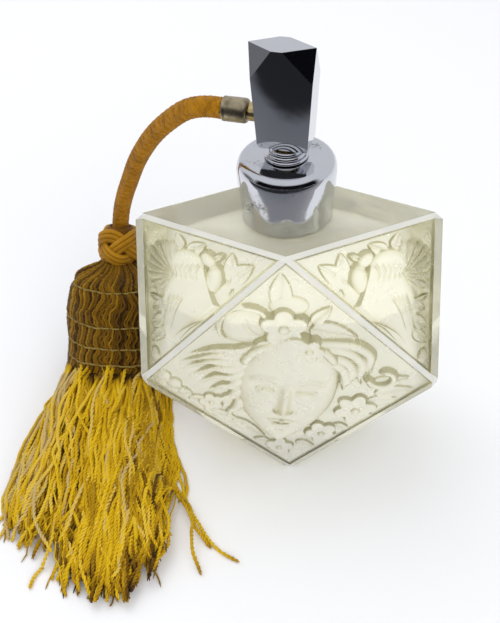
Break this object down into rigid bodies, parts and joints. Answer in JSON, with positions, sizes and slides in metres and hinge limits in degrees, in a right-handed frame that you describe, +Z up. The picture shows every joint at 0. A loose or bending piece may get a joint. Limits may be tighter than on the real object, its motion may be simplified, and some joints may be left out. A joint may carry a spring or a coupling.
{
  "type": "perfume atomiser",
  "caption": "Faceted pressed-glass perfume bottle with a chrome spray head on a screw collar, a braided hose and a tasselled squeeze bulb.",
  "frame": {"origin": "middle of the bottle's flat base, on the table", "axes": "+Z up along the neck; the front relief faces -Y; the hose leaves the head towards -X and the spray goes to +X"},
  "size_m": [0.127, 0.1096, 0.1281],
  "materials": {
    "glass": "pressed glass, satin relief panels with polished bevels",
    "chrome": "polished chrome plate with light tarnish",
    "brass": "plain turned brass",
    "aged_brass": "antique brass with worn lacquer",
    "steel": "polished steel ball",
    "washer": "waxed leather",
    "dip_tube": "clear drawn tube",
    "rubber": "soft rubber",
    "braid": "braided golden silk",
    "knot_cord": "smooth ochre cord",
    "cover_threads": "fine twisted rayon threads side by side",
    "binding_thread": "stitched thread",
    "fringe_threads": "loose twisted rayon threads"
  },
  "bodies": {
    "bottle": {"glass_bottle": "glass", "neck_ring": "brass"},
    "washer": {"sealing_washer": "washer"},
    "head": {"head_plate": "brass", "stem_nut": "chrome", "swivel_bush": "brass", "stem_tube": "brass", "dip_tube": "dip_tube", "head_block": "chrome", "spray_nozzle": "chrome", "air_jet": "brass", "hose_nipple": "brass"},
    "collar": {"collar_shell": "chrome", "collar_thread_insert": "brass"},
    "hose": {"hose_ferrule": "aged_brass", "hose_tube": "rubber", "hose_braid": "braid", "cord_knot": "knot_cord", "rubber_bulb": "rubber", "bulb_cover": "cover_threads", "cover_binding_1": "binding_thread", "cover_binding_2": "binding_thread", "cover_binding_3": "binding_thread", "cover_binding_4": "binding_thread"},
    "bulb_end": {"inlet_valve_body": "brass", "valve_cap": "brass", "tassel_fringe": "fringe_threads"},
    "valve_ball": {"valve_ball": "steel"}
  },
  "joints": [
    {"name": "head_lift", "type": "slide", "parent": "bottle", "child": "washer", "axis": [0, 0, 1], "range_m": [0, 0.09]},
    {"name": "head_swivel", "type": "hinge", "parent": "washer", "child": "head", "pos_m": [0, 0, 0.0905], "axis": [0, 0, 1], "range_deg": [-90, 90]},
    {"name": "collar_turn", "type": "hinge", "parent": "head", "child": "collar", "pos_m": [0, 0, 0.09], "axis": [0, 0, 1], "range_deg": [0, 540]},
    {"name": "hose_swing", "type": "hinge", "parent": "head", "child": "hose", "pos_m": [0, 0, 0.1103], "axis": [-0.9703, 0.2419, 0], "range_deg": [0, 45]},
    {"name": "bulb_squeeze", "type": "slide", "parent": "hose", "child": "bulb_end", "axis": [0.063, 0.4319, 0.8997], "range_m": [0, 0.008], "stiffness_N_per_m": 400, "deforming": ["rubber_bulb", "bulb_cover", "cover_binding_1", "cover_binding_2", "cover_binding_3", "cover_binding_4"]},
    {"name": "valve_lift", "type": "slide", "parent": "bulb_end", "child": "valve_ball", "axis": [0.063, 0.4319, 0.8997], "range_m": [0, 0.0007]}
  ]
}
